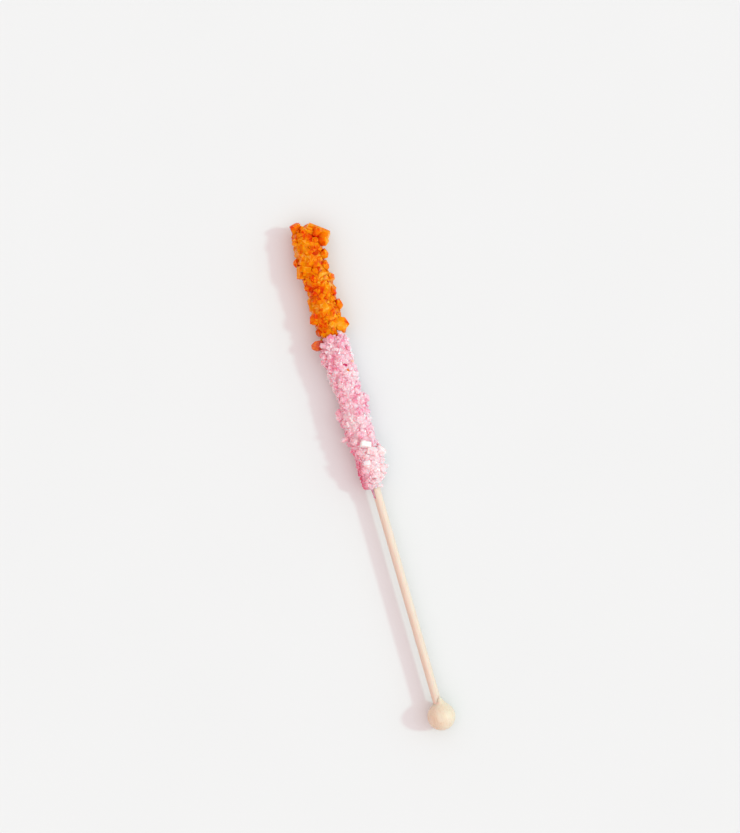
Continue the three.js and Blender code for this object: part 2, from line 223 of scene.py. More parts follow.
def turns_to(direction, turn):
    """Rotations that carry x to each direction d, after a turn about x.

    With v = x × d and [v] its cross-product matrix, the carry is I + [v] + [v]² / (1 + d·x).
    """
    x, y, z = direction.T
    zero, one = np.zeros_like(x), np.ones_like(x)
    cross = np.stack([zero, -y, -z, y, zero, zero, z, zero, zero], axis=1).reshape(-1, 3, 3)
    carry = np.eye(3) + cross + cross @ cross / (1 + x)[:, None, None]
    cosine, sine = np.cos(turn), np.sin(turn)
    about = np.stack([one, zero, zero, zero, cosine, -sine, zero, sine, cosine], axis=1).reshape(-1, 3, 3)
    return carry @ about


def spiral(first, last, count, small, large, seed):
    """Evenly spread places, angles round the stick, outward directions, and crystals still on the axis.

    Place k of n is (k + 1/2) / n of the way along, and its angle is k golden angles, both moved by chance.
    """
    number = np.arange(count)

    def between(low, high, draw):
        return low + (high - low) * chance(seed, number, draw)

    along = first + (last - first) * (number + 0.5) / count + ALONG_SHIFT * between(-0.5, 0.5, 1)
    angle = number * GOLDEN_ANGLE + TURN_SHIFT * between(-0.5, 0.5, 2)
    length = small + (large - small) * chance(seed, number, 3) ** FEW_LARGE
    width, thickness = length * between(*WIDTH_SHARE, 4), length * between(*THICKNESS_SHARE, 5)
    outward = np.stack([np.zeros(count), np.cos(angle), np.sin(angle)], axis=1)
    sideways = np.stack([np.zeros(count), -np.sin(angle), np.cos(angle)], axis=1)
    lean, way = np.radians(between(*LEAN, 6))[:, None], between(0, 2 * math.pi, 7)[:, None]
    tangent = np.cos(way) * sideways + np.sin(way) * np.array([1.0, 0, 0])
    turn = turns_to(np.cos(lean) * outward + np.sin(lean) * tangent, between(0, 2 * math.pi, 8))
    half = np.stack([length, width, thickness], axis=1) / 2
    return along, angle, outward, Crystals(np.zeros((count, 3)), half, turn, between(*SHOULDER_SHARE, 11))


def moved_out(along, outward, depth, crystals):
    """Crystals moved from the axis to their place along it and to a distance from it."""
    return crystals._replace(middle=np.column_stack([along, outward[:, 1:] * depth[:, None]]))


def first_crystals(spec):
    """The large crystals. Each one's outer end comes near the outline, and its middle stays inside."""
    along, angle, outward, crystals = spiral(**spec)
    own_reach = np.einsum("nvi,ni->nv", corners_of(crystals), outward).max(axis=1)
    reach = reach_at(along, angle)
    low, high = REACH_SHARE
    outer_end = reach * (low + (high - low) * chance(spec["seed"], np.arange(len(along)), 9))
    return moved_out(along, outward, np.minimum(outer_end - own_reach, reach - LEAST_ROOT), crystals)


print("each crystal is", round(math.degrees(GOLDEN_ANGLE), 1), "degrees round from the one before")

# %% [markdown]
# ## Crystals that stand out
# A few crystals give the stick its own face: the blocks that square off the tip, a square step, a knob that
# stands out where the pink meets the orange, a flat one that flashes. They are placed one by one, each by its
# middle, its length, width and thickness, the direction of its length, its turn about that length in degrees,
# and its shoulder.

# %% Place the crystals that stand out
ORANGE_LANDMARKS = [
    ((186.8, -5.6, 1.2), (9.2, 4.0, 4.4), (-0.62, -0.79, 0.03), 5, 0.86),  # squares off the tip
    ((189.2, 1.7, 0.8), (5.6, 4.2, 3.8), (0.9, 0.1, 0.3), 20, 0.8),
    ((186.8, -1.6, 1.6), (5.4, 5.2, 4.2), (0.8, -0.4, 0.2), 15, 0.7),
    ((186.6, -5.2, 2.6), (4.4, 3.6, 3.2), (0.5, -0.7, 0.35), 50, 0.65),
    ((183.5, -6.3, 1.4), (4.8, 4.0, 4.0), (-0.3, -0.9, 0.2), 25, 0.65),
    ((177.6, 4.2, 0.8), (4.4, 3.0, 2.8), (0.3, 1, 0.1), 35, 0.6),
    ((178.4, -4.8, 1.0), (4.6, 3.2, 3.2), (0.1, -1, 0.2), 30, 0.7),
    ((173.9, 3.7, 1.2), (5.0, 4.8, 4.4), (0.96, -0.28, 0.05), 3, 0.92),  # the square step
    ((169.6, -4.6, 1.0), (4.8, 3.6, 3.2), (0.4, -1, 0.3), 60, 0.6),
    ((159.4, -4.8, 0.8), (4.6, 4.0, 3.4), (0, -1, 0.4), 10, 0.6),
    ((156.0, 3.8, 1.4), (5.0, 4.4, 4.0), (0.2, 0.3, 1), 60, 0.7),
    ((152.0, -4.0, 1.4), (5.2, 5.6, 4.8), (0.1, -0.3, 1), 50, 0.85),
    # the next one lies in shadow, and its deep red is painted shade
    ((151.6, 3.4, 0.8), (4.2, 3.0, 2.8), (-0.6, 0.9, 0), 30, 0.6),  # the deep red one next to the pink
]
PINK_LANDMARKS = [
    ((146.8, 5.5, 0.8), (5.8, 3.9, 3.7), (0.1, 1, 0.05), 20, 0.45),  # the knob
    ((141.6, 3.9, 1.2), (4.6, 3.8, 3.0), (0.1, 1, 0.4), 15, 0.7),
    ((123.9, -4.7, 1.2), (4.6, 3.4, 3.0), (0.3, -1, 0.3), 30, 0.7),
    ((121.0, 4.4, 0.6), (4.6, 3.4, 3.0), (0, 1, 0.2), 50, 0.6),
    ((111.7, 4.9, 0.4), (5.4, 2.6, 1.6), (-0.24, 1, 0.1), 80, 0.6),  # the thin spike
    # the next one flashes by its facing, and its near white is partly a painted highlight
    ((107.8, -0.8, 4.5), (4.0, 2.8, 3.2), (-0.42, -0.86, -0.25), 8, 0.9),  # the bright face on top
    ((103.8, -4.6, 1.2), (5.0, 4.4, 3.8), (0.5, -1, 0.3), 20, 0.85),
    ((104.9, -2.2, 4.0), (4.0, 3.4, 3.2), (-0.42, -0.86, -0.2), 20, 0.8),
    ((100.6, 0.3, 4.2), (3.6, 3.2, 2.8), (0.5, 0.3, 0.4), 30, 0.75),
    ((98.0, -3.7, 1.4), (4.4, 3.4, 3.0), (-0.4, -1, 0.3), 65, 0.7),
    ((94.1, 2.0, 0.8), (4.0, 2.8, 2.6), (-0.8, 0.6, 0.1), 20, 0.7),
]
# These have little dye and are painted near white, which is partly a painted highlight where they flash.
CLEAR_LANDMARKS = {5: 1.0, 6: 0.5, 7: 0.3, 8: 0.5}  # pink ones with little dye: which, and how clear


def hand_placed(landmarks):
    """Crystals from their middle, size, facing, turn and shoulder, each facing brought to length one."""
    middle, size, facing, turn, shoulder = (np.array(column, float) for column in zip(*landmarks))
    facing /= np.linalg.norm(facing, axis=1)[:, None]
    return Crystals(middle, size / 2, turns_to(facing, np.radians(turn)), shoulder)


pink_large = together(first_crystals(PINK), hand_placed(PINK_LANDMARKS))
orange_large = together(first_crystals(ORANGE), hand_placed(ORANGE_LANDMARKS))
print(f"{len(pink_large.middle)} large pink crystals and {len(orange_large.middle)} large orange ones")

# %% [markdown]
# ## The sleeve under the crystals
# Between the large crystals one sees the sugar that grew first. It is an uneven tube of flat faces, made as
# rings of corners whose radius chance moves in and out, with every other ring turned by half a step.

# %% The sleeve
SLEEVE_DEPTH = 0.9  # under the outline
SLEEVE_UNEVEN = 0.8
SLEEVE_STEP = 1.5
SLEEVE_SIDES = 18
LEAST_WALL = 0.7


def sleeve(first, last):
    """Corners and faces of the sleeve. Radius = reach - depth + an uneven share, but at least its wall."""
    rings = math.ceil((last - first) / SLEEVE_STEP)
    ring, side = np.meshgrid(np.arange(rings + 1), np.arange(SLEEVE_SIDES), indexing="ij")
    along = first + (last - first) * ring / rings
    angle = 2 * math.pi * (side + (ring % 2) / 2) / SLEEVE_SIDES
    uneven = SLEEVE_UNEVEN * (chance(SLEEVE_SIDES, ring, side) - 0.5)
    radius = np.maximum(reach_at(along, angle) - SLEEVE_DEPTH + uneven, DOWEL_RADIUS + FIT_GAP + LEAST_WALL)
    corners = np.stack([along, radius * np.cos(angle), radius * np.sin(angle)], axis=-1).reshape(-1, 3)
    number = ring * SLEEVE_SIDES + side
    a, b = number[:-1], np.roll(number, -1, axis=1)[:-1]
    c, d = a + SLEEVE_SIDES, b + SLEEVE_SIDES
    odd = (ring[:-1] % 2 == 1)[..., None]
    one = np.where(odd, np.stack([a, b, d], axis=-1), np.stack([a, b, c], axis=-1))
    other = np.where(odd, np.stack([a, d, c], axis=-1), np.stack([b, d, c], axis=-1))
    faces = np.concatenate([one.reshape(-1, 3), other.reshape(-1, 3)]).tolist()
    return corners, faces + [number[0][::-1].tolist(), number[-1].tolist()]


print("the pink sleeve has", len(sleeve(CANDY_START, COLOUR_CHANGE)[1]), "faces")

# %% [markdown]
# ## Small crystals on the large ones
# Later crystals start on the faces of the earlier ones. To seat them, a ray goes straight out from the axis
# at each place, and the farthest point where it leaves a crystal is the surface. A crystal is a set of planes,
# so that point is the nearest of the planes that the ray crosses outwards, worked out for all rays and
# crystals at once. One more kind, at the rim, covers the end of the sleeve next to the bare dowel.

# %% Find the surface
RAYS_AT_ONCE = 150


def surface_at(along, angle, crystals):
    """Radius where a ray leaves the outermost crystal: least (distance - n·start) / (n·way) of its planes."""
    corners = corners_of(crystals)
    a, b, c = (corners[:, [face[corner] for face in SHARP[1]]] for corner in range(3))
    normals = np.cross(b - a, c - a)
    distances = (normals * a).sum(axis=2)
    gap = distances[None] - normals[None, :, :, 0] * along[:, None, None]
    cosine, sine = (wave(angle)[:, None, None] for wave in (np.cos, np.sin))
    speed = normals[None, :, :, 1] * cosine + normals[None, :, :, 2] * sine
    with np.errstate(divide="ignore", invalid="ignore"):
        cross = gap / speed
    leave = np.where(speed > 0, cross, np.inf).min(axis=2)
    enter = np.where(speed < 0, cross, -np.inf).max(axis=2)
    return np.where(enter < leave, leave, 0).max(axis=1)


print("rays are worked out", RAYS_AT_ONCE, "at a time, to spare memory")

# %% Grow the small crystals
TIP_END = OVERALL_LENGTH - 2
PINK_SMALL = dict(first=CANDY_START + 0.8, last=COLOUR_CHANGE + 0.4, count=560, small=1.8, large=3.6, seed=5)
PINK_FINE = dict(first=CANDY_START + 0.4, last=COLOUR_CHANGE + 0.2, count=620, small=1.0, large=2.0, seed=7)
PINK_RIM = dict(first=CANDY_START + 0.3, last=CANDY_START + 2.2, count=56, small=0.9, large=1.7, seed=31)
ORANGE_SMALL = dict(first=COLOUR_CHANGE - 0.4, last=TIP_END, count=130, small=2.2, large=4.2, seed=13)
ORANGE_FINE = dict(first=COLOUR_CHANGE - 0.2, last=TIP_END, count=60, small=1.2, large=2.2, seed=17)
MOST_PLACES = 0.95
TOO_PROUD = 1.1  # of the outline: what stands out further stays bare
CREVICE_HEIGHT, CREVICE_CHANCE = 0.9, 0.1  # of the outline, and how much chance adds


def later_crystals(spec, earlier, seat, keep):
    """Small crystals where keep says that they grow, their middles seat half lengths under the surface."""
    along, angle, outward, crystals = spiral(**spec)
    parts = zip(*(np.array_split(values, math.ceil(len(along) / RAYS_AT_ONCE)) for values in (along, angle)))
    reach = reach_at(along, angle)
    surface = np.concatenate([surface_at(*part, earlier) for part in parts])
    surface = np.maximum(surface, reach - SLEEVE_DEPTH)
    grows = keep(surface / reach, chance(spec["seed"], np.arange(len(along)), 10))
    crystals = moved_out(along, outward, surface - seat * crystals.half[:, 0], crystals)
    return Crystals(*(values[grows] for values in crystals))


def anywhere(height, luck):
    """Nearly everywhere, but not on the crystals that stand out."""
    return (luck < MOST_PLACES) & (height < TOO_PROUD)


def in_crevices(height, luck):
    """Only where the surface is under the outline."""
    return height < CREVICE_HEIGHT + CREVICE_CHANCE * luck


pink_small = later_crystals(PINK_SMALL, pink_large, seat=0.55, keep=anywhere)
pink_ground = together(pink_large, pink_small)
pink_fine = later_crystals(PINK_FINE, pink_ground, seat=0.45, keep=anywhere)
pink_fine = together(pink_fine, later_crystals(PINK_RIM, pink_ground, seat=0.6, keep=anywhere))
orange_small = later_crystals(ORANGE_SMALL, orange_large, seat=0.7, keep=in_crevices)
orange_fine = later_crystals(ORANGE_FINE, together(orange_large, orange_small), seat=0.5, keep=in_crevices)
print("later crystals:", [len(kind.middle) for kind in (pink_small, pink_fine, orange_small, orange_fine)])

# %% [markdown]
# ## Specks, a trickle and the neck
# Three stray crystals of another dye sit on the pink: one magenta and two orange. Where the pink starts, a
# trickle of syrup ran down the dowel's left side and grew a thin row of small crystals, and a ring of them
# closes the sleeve's end round the dowel. Each has a few sizes listed, and chance does the rest.

# %% Place the specks, the trickle and the ring
SPECKS = [  # along, angle round the stick, size, facing
    (137.4, 111, (1.9, 0.9, 0.8), (-0.28, -0.96, 0)),
    (135.3, 117, (1.2, 1.0, 0.9), (0.9, 0.4, 0)),
    (138.1, 145, (1.2, 1.0, 0.9), (0.2, -0.9, -0.4)),
]
SPECK_PROUD, TRICKLE_PROUD = 0.1, 0.15  # millimetres
SMALL_SHOULDER = 0.7
TRICKLE = dict(first=88.2, last=92.2, angle=42, count=11, size=(1.0, 0.7, 0.6), seed=29)
TRICKLE_SWAY = 0.16  # radians
TRICKLE_SHRINK = (1.25, 0.8)  # of the size, from the candy outwards
RING = dict(count=26, size=(1.3, 1.0, 0.9), seed=37)
RING_LEAST, RING_MORE = 0.7, 0.6  # of the size: the least share, and what chance adds
RING_INSIDE, RING_DEPTH, RING_WIDTH = 0.1, 0.5, 0.7  # millimetres


def seated(along, angle, radius, size, facing, turn):
    """Crystals by their place along and round the stick and their distance from its axis."""
    middle = np.column_stack([along, radius * np.cos(angle), radius * np.sin(angle)])
    turns, shoulders = (np.broadcast_to(value, len(middle)) for value in (turn, SMALL_SHOULDER))
    return hand_placed(list(zip(middle, size, facing, turns, shoulders)))


def trickle(first, last, angle, count, size, seed):
    """A row along the dowel whose crystals shrink away from the candy and sway a little to both sides."""
    sway, across, over, turn = (chance(seed, np.arange(count), draw) for draw in range(1, 5))
    swayed = np.radians(angle) + TRICKLE_SWAY * (sway - 0.5)
    sizes = np.array(size) * np.linspace(*TRICKLE_SHRINK, count)[:, None]
    facing = np.column_stack([np.ones(count), across - 0.5, over - 0.5])
    radius = DOWEL_RADIUS + TRICKLE_PROUD
    return seated(np.linspace(last, first, count), swayed, radius, sizes, facing, 90 * turn)


def neck_ring(count, size, seed):
    """Crystals evenly round the dowel on the sleeve's end, each with its own size, place and facing."""
    number = np.arange(count)
    turn, more, *facing, forward, away = (chance(seed, number, draw) for draw in range(1, 8))
    along = CANDY_START + RING_INSIDE - RING_DEPTH * forward
    angle = 2 * math.pi * (number + turn) / count
    sizes = np.array(size) * (RING_LEAST + RING_MORE * more)[:, None]
    radius = DOWEL_RADIUS + RING_WIDTH * away
    return seated(along, angle, radius, sizes, np.column_stack(facing) - 0.5, 90 * turn)


speck_along, speck_angle, speck_size, speck_facing = (np.array(column, float) for column in zip(*SPECKS))
speck_angle = np.radians(speck_angle)
speck_ground = surface_at(speck_along, speck_angle, together(pink_large, pink_small, pink_fine))
specks = seated(speck_along, speck_angle, speck_ground + SPECK_PROUD, speck_size, speck_facing, turn=10)
pink_trickle = trickle(**TRICKLE)
pink_ring = neck_ring(**RING)
print("specks at", speck_ground.round(1), "mm from the axis")

# %% [markdown]
# ## Fuse the crystals
# Sugar crystals that touch grow into one body. Overlapping shells would leave walls inside it that stop the
# light, so a Boolean union joins the sleeve and every crystal, and a cut takes out the dowel's bore and what
# lies under the table. Manifold does this in seconds and keeps each face's attributes, so a face still knows
# its crystal and facet. Sealed pockets and loose scraps that the joins leave are dropped.

# %% Meshes with marks on their faces
def mesh_from(name, points, faces, **face_values):
    """A mesh with one float attribute on its faces for each named array."""
    mesh = bpy.data.meshes.new(name)
    mesh.from_pydata(np.asarray(points).tolist(), [], [list(face) for face in faces])
    for label, values in face_values.items():
        attribute = mesh.attributes.new(label, "FLOAT", "FACE")
        attribute.data.foreach_set("value", np.broadcast_to(values, len(mesh.polygons)).astype(np.float32))
    return mesh


def corners_in(mesh):
    """The mesh's corners as the rows of an array."""
    points = np.empty(len(mesh.vertices) * 3)
    mesh.vertices.foreach_get("co", points)
    return points.reshape(-1, 3)


def shown(data):
    """An object for a mesh, a light or a camera, linked to the scene."""
    thing = bpy.data.objects.new(data.name, data)
    bpy.context.scene.collection.objects.link(thing)
    return thing


def crystal_meshes(crystals, unit, seed, dye=0.0, clear=0.0):
    """One mesh for each crystal, its faces marked by crystal, by facet, by dye and by how clear it is."""
    points, faces, facets = unit
    corners = corners_of(crystals, points)
    number = np.arange(len(corners))
    own, dye, clear = np.broadcast_arrays(chance(seed, number, 20), dye, clear)
    facet = chance(seed, number[:, None], 21 + facets[None, :])
    return [
        mesh_from("crystal", corners[n], faces, facet=facet[n], crystal=own[n], dye=dye[n], clear=clear[n])
        for n in number
    ]


print("a face's marks: facet, crystal, dye and clear")


# %% Tools that cut
def ground_mesh(half_length=400.0, depth=50.0):
    """A block under the table's plane, which in the stick's frame lies a rest depth under the axis."""
    ends = np.array([-half_length, half_length])
    corners = [(x, y, z - rest_depth(x)) for x in ends for y in ends for z in (-depth, 0)]
    faces = [(0, 1, 3, 2), (4, 6, 7, 5), (0, 4, 5, 1), (2, 3, 7, 6), (0, 2, 6, 4), (1, 5, 7, 3)]
    return mesh_from("ground", corners, faces)


def rod_mesh(first, last, radius, sides=48):
    """A round rod on the stick's axis: two rings of corners, the walls between them and two flat ends."""
    angle = np.arange(sides) * 2 * math.pi / sides
    section = radius * np.cos(angle), radius * np.sin(angle)
    rings = [np.column_stack([np.full(sides, x), *section]) for x in (first, last)]
    side = np.arange(sides)
    onward = np.roll(side, -1)
    walls = np.column_stack([side, onward, onward + sides, side + sides])[:, ::-1].tolist()
    return mesh_from("rod", np.concatenate(rings), walls + [side.tolist(), (side + sides)[::-1].tolist()])


def outward_faces(mesh):
    """Face normals recalculated to point out of a closed mesh."""
    shape = bmesh.new()
    shape.from_mesh(mesh)
    bmesh.ops.recalc_face_normals(shape, faces=shape.faces)
    shape.to_mesh(mesh)
    shape.free()
    return mesh


print("two tools: the ground and the bore")


# %% Join, cut and clean
def boolean(body, operation, tools):
    """Changes the body's mesh by one Boolean with every tool mesh. The tools and the old mesh are removed."""
    group = bpy.data.collections.new("tools")
    for mesh in tools:
        group.objects.link(bpy.data.objects.new("tool", mesh))
    modifier = body.modifiers.new("boolean", "BOOLEAN")
    modifier.operation, modifier.operand_type, modifier.solver = operation, "COLLECTION", "MANIFOLD"
    modifier.collection = group
    graph = bpy.context.evaluated_depsgraph_get()
    result = bpy.data.meshes.new_from_object(body.evaluated_get(graph), depsgraph=graph)
    body.modifiers.clear()
    old, body.data = body.data, result
    bpy.data.meshes.remove(old)
    for mesh in tools:
        bpy.data.meshes.remove(mesh)
    bpy.data.collections.remove(group)


def largest_part(mesh):
    """Only the largest connected part stays. Corners take the least label beside them until none changes."""
    pairs = np.empty(len(mesh.edges) * 2, int)
    mesh.edges.foreach_get("vertices", pairs)
    pairs = pairs.reshape(-1, 2)
    label, spread = np.full(len(mesh.vertices), -1), np.arange(len(mesh.vertices))
    while (spread != label).any():
        label = spread.copy()
        np.minimum.at(spread, pairs.ravel(), np.repeat(label[pairs].min(axis=1), 2))
        spread = spread[spread]
    labels, sizes = np.unique(label, return_counts=True)
    extra = np.flatnonzero(label != labels[sizes.argmax()])
    shape = bmesh.new()
    shape.from_mesh(mesh)
    shape.verts.ensure_lookup_table()
    bmesh.ops.delete(shape, geom=[shape.verts[number] for number in extra], context="VERTS")
    shape.to_mesh(mesh)
    shape.free()
    print(f"{mesh.name}: {len(labels)} parts, {len(extra)} corners of pockets and scraps removed")


# %% Fuse one colour
BORE_CLEARANCE = 0.03
SLEEVE_SEED, TRICKLE_MARKS, SPECK_MARKS = 2, 19, 23
EVEN_MARK = 0.5  # the sleeve's own tone is in the middle
ORANGE_DYE, MAGENTA_DYE = 1.0, -1.0  # what the dye mark says where a pink crystal isn't pink
PALE_SPECK = 0.6  # how much of its dye the last speck has
# Redder orange crystals are painted shade: the one in shadow by the pink, and a random share of the small ones,
# which grow only in crevices.
RED_SHADE_MARK, RED_SHADE_SHARE = 0.7, 0.15  # the mark where an orange one is redder, and the share of small ones


def fused_candy(name, core, bore_end, kinds):
    """The sleeve joined with every kind of crystal, less the bore and less what is under the table."""
    corners, faces = sleeve(*core)
    marks = chance(SLEEVE_SEED, np.arange(len(faces)), 1)
    body = shown(mesh_from(name, corners, faces, facet=marks, crystal=EVEN_MARK, dye=0.0, clear=0.0))
    outward_faces(body.data)
    boolean(body, "UNION", [mesh for kind in kinds for mesh in crystal_meshes(*kind)])
    bore = rod_mesh(0, bore_end, DOWEL_RADIUS + BORE_CLEARANCE)
    boolean(body, "DIFFERENCE", [outward_faces(ground_mesh()), outward_faces(bore)])
    largest_part(body.data)
    print(f"{name}: {len(body.data.vertices)} corners, {len(body.data.polygons)} faces")
    return body


# %% The pink candy
knob_dye, clear_and_highlight_share = np.zeros((2, len(pink_large.middle)))
knob_dye[PINK["count"]] = ORANGE_DYE
clear_and_highlight_share[PINK["count"] + np.array(list(CLEAR_LANDMARKS))] = list(CLEAR_LANDMARKS.values())
candy_pink = fused_candy(
    "pink_sugar_crystals",
    (CANDY_START, COLOUR_CHANGE),
    OVERALL_LENGTH,
    [
        (pink_large, WASHED, PINK["seed"], knob_dye, clear_and_highlight_share),
        (pink_small, SHARP, PINK_SMALL["seed"]),
        (pink_fine, SHARP, PINK_FINE["seed"]),
        (pink_trickle, SHARP, TRICKLE_MARKS, MAGENTA_DYE / 2),
        (pink_ring, SHARP, RING["seed"]),
        (specks, WASHED, SPECK_MARKS, (MAGENTA_DYE, ORANGE_DYE, PALE_SPECK * ORANGE_DYE), 1.0),
    ],
)
print("pink crystals with another dye:", np.count_nonzero(knob_dye) + len(SPECKS))

# %% The orange candy
# The last large one and some small ones in crevices get a painted red shade.
red_shade_large = np.zeros(len(orange_large.middle))
red_shade_large[-1] = RED_SHADE_MARK
small_luck = chance(ORANGE_SMALL["seed"], np.arange(len(orange_small.middle)), 12)
red_shade_small = RED_SHADE_MARK * (small_luck < RED_SHADE_SHARE)
candy_orange = fused_candy(
    "orange_sugar_crystals",
    (COLOUR_CHANGE, SLEEVE_END),
    DOWEL_END + FIT_GAP,
    [
        (orange_large, WASHED, ORANGE["seed"], red_shade_large),
        (orange_small, WASHED, ORANGE_SMALL["seed"], red_shade_small),
        (orange_fine, SHARP, ORANGE_FINE["seed"]),
    ],
)
print("deeply dyed orange crystals:", np.count_nonzero(red_shade_large) + np.count_nonzero(red_shade_small))

# %% [markdown]
# ## Places as attributes
# A material can't know the outline or the stick's own directions, which the pink needs: its dye changes along
# the stick, its painted shade and light change across it, and the orange knob's fades towards its root. So each
# corner stores its place along and across the stick and its depth under the outline, which is below 0 outside.

# %% Store the places and put the candy on the table
DEPTH_UNIT = 1.5  # millimetres of depth for one unit of the mark


def finish_candy(body):
    """Depth = (reach - radius) / unit on every corner. Then the corners go to their place in the frame."""
    mesh = body.data
    points = corners_in(mesh)
    radius = np.hypot(points[:, 1], points[:, 2])
    depth = (reach_at(points[:, 0], np.arctan2(points[:, 2], points[:, 1])) - radius) / DEPTH_UNIT
    for label, values in (("depth", depth), ("along", points[:, 0]), ("across", points[:, 1])):
        mesh.attributes.new(label, "FLOAT", "POINT").data.foreach_set("value", values.astype(np.float32))
    mesh.vertices.foreach_set("co", placed(points).ravel())
    mesh.update()
    print(body.name, "mean depth", depth.mean().round(2), "lowest point", points[:, 2].min().round(2), "mm")


for body in (candy_pink, candy_orange):
    finish_candy(body)

# %% [markdown]
# ## The dowel
# The dowel is sanded birch, drawn through a round die and never quite round. It is a grid of rings along the
# axis and sides round it, whose radius carries shallow lengthwise grooves, closed by a chamfer and a flat fan
# at each end. The same sweep makes the bead.

# %% Sweep rings along the axis
def closed_sweep(name, along, radius, angle):
    """Rings at each place along the axis with the given radii, closed at both ends by a point on the axis."""
    rings, sides = radius.shape
    x = np.broadcast_to(along, radius.shape)
    points = np.stack([x, radius * np.cos(angle), radius * np.sin(angle)], axis=-1).reshape(-1, 3)
    number = np.arange(rings * sides).reshape(rings, sides)
    a, b = number[:-1], np.roll(number, -1, axis=1)[:-1]
    walls = np.stack([a, b, b + sides, a + sides], axis=-1).reshape(-1, 4)[:, ::-1].tolist()
    poles = np.array([[x[0, 0], 0, 0], [x[-1, 0], 0, 0]])
    first, last = number[0], number[-1]
    start = np.column_stack([first, np.roll(first, -1), np.full(sides, rings * sides)]).tolist()
    end = np.column_stack([np.roll(last, -1), last, np.full(sides, rings * sides + 1)]).tolist()
    return mesh_from(name, np.concatenate([points, poles]), walls + start + end)


SMOOTH_ANGLE = math.radians(40)


def settle(mesh):
    """A turned piece moved to its place, never under the table, and smooth between its sharp edges."""
    points = placed(corners_in(mesh))
    points[:, 2] = np.maximum(points[:, 2], 0)
    mesh.vertices.foreach_set("co", points.ravel())
    outward_faces(mesh)
    mesh.polygons.foreach_set("use_smooth", np.ones(len(mesh.polygons), bool))
    mesh.set_sharp_from_angle(angle=SMOOTH_ANGLE)
    return mesh


print("faces that meet at under", round(math.degrees(SMOOTH_ANGLE)), "degrees are smooth")

# %% Make the dowel
GROOVE = 0.012
GROOVES = ((5, 0.4), (9, 2.1), (14, 4.0))  # how many waves round the rod, and where each set starts
CHAMFER = 0.3
DOWEL_RINGS, DOWEL_SIDES = 260, 72


def dowel_mesh():
    """Radius = the dowel's less grooves: sines round the rod whose phase drifts slowly along it."""
    first, last = 2 * BEAD_RADIUS - SOCKET_DEPTH + FIT_GAP, DOWEL_END
    middle = np.linspace(first + CHAMFER, last - CHAMFER, DOWEL_RINGS)
    along = np.concatenate([[first], middle, [last]])[:, None]
    angle = np.arange(DOWEL_SIDES)[None, :] * 2 * math.pi / DOWEL_SIDES
    drift = 0.9 * np.sin(along / 23.0) + 0.5 * np.sin(along / 9.1 + 1.3)
    grooves = sum(np.sin(waves * angle + drift * waves / 5 + phase) for waves, phase in GROOVES)
    radius = DOWEL_RADIUS - GROOVE * (1.5 + grooves / 2)
    radius[[0, -1]] -= CHAMFER
    return closed_sweep("birch_dowel_rod", along, radius, angle)


dowel = shown(settle(dowel_mesh()))
print("dowel:", len(dowel.data.polygons), "faces")

# %% [markdown]
# ## The bead
# The bead was turned on a lathe and bored, and the drill pushed up a lip of wood on one side of the hole,
# which leans on the dowel with a dark notch behind it. Its outline is a ball, the rim of the hole and the
# bore, carried round the axis as one profile. The lip rises from it in a bell curve round the stick, narrow
# over the top and wide down the right. Where the bead lies on the table it is a touch flat.

# %% Make the bead
TURNING_RINGS = 0.012  # how deep the lathe's marks are
FIRST_TURN = 0.03  # radians from the outer pole to the first ring
LIP_SIDE = math.radians(128)  # round the stick: on top and to the right
LIP_OVER_TOP, LIP_DOWN_RIGHT = math.radians(36), math.radians(74)  # how far it spreads on each side
LIP_HEIGHT = 2.4
LIP_FOOT = 3.7  # how far from the axis the lip starts to rise
NOTCH = 0.4
RIM = 0.25
RIM_RINGS = [(0.1, 0.12, 0.3), (0.0, 0.0, 0.5), (-0.4, -0.03, 1.0), (-1.6, -0.06, 0.5)]  # along, out, notch
MOUTH_GAP = 0.1
BEAD_ROWS, BEAD_SIDES = 96, 120


def bead_mesh():
    """Ball, rim and bore in one profile. The lip raises the ball by height · bump · rise² on its side."""
    angle = np.arange(BEAD_SIDES)[None, :] * 2 * math.pi / BEAD_SIDES
    spread = np.where(angle < LIP_SIDE, LIP_OVER_TOP, LIP_DOWN_RIGHT)
    bump = np.exp(-(((angle - LIP_SIDE) / spread) ** 2))
    mouth = DOWEL_RADIUS + MOUTH_GAP
    turns = math.pi - np.arcsin(np.array([LIP_FOOT, mouth + RIM]) / BEAD_RADIUS)
    turn = np.linspace(FIRST_TURN, turns[1], BEAD_ROWS)[:, None]
    ball = BEAD_RADIUS + TURNING_RINGS * (np.sin(turn * 31) + 0.6 * np.sin(turn * 57 + 1)) * np.sin(turn)
    rise = np.clip((turn - turns[0]) / (turns[1] - turns[0]), 0, 1)
    ball_along = BEAD_RADIUS - ball * np.cos(turn) + LIP_HEIGHT * bump * rise**2
    ball_radius = ball * np.sin(turn) + 0 * angle
    rim = np.array(RIM_RINGS)[:, :, None]
    rim_radius = mouth + rim[:, 1] + NOTCH * bump * rim[:, 2]
    end = np.ones_like(bump)
    socket_end = 2 * BEAD_RADIUS - SOCKET_DEPTH
    along = np.concatenate([ball_along, ball_along[-1] + rim[:, 0], socket_end * end])
    radius = np.concatenate([ball_radius, rim_radius, mouth * end])
    return closed_sweep("birch_bead_ball", along, radius, angle)


bead = shown(settle(bead_mesh()))
print("bead:", len(bead.data.polygons), "faces")

# %% [markdown]
# ## Materials
# Each finish is a small graph of nodes. Colours are written as the sRGB hex values that one would pick from
# the real thing and turned to linear light by one function. Pattern scales are a size in millimetres. A Mix
# node takes its two colours at inputs 6 and 7 and gives the result at output 2.

# %% Helpers for materials
def linear(hex_colour):
    """sRGB hex to linear RGBA: c / 12.92 below 0.04045, otherwise ((c + 0.055) / 1.055) to the power 2.4."""
    srgb = np.array([int(hex_colour[i : i + 2], 16) / 255 for i in (1, 3, 5)])
    light = np.where(srgb <= 0.04045, srgb / 12.92, ((srgb + 0.055) / 1.055) ** 2.4)
    return (*light.tolist(), 1.0)


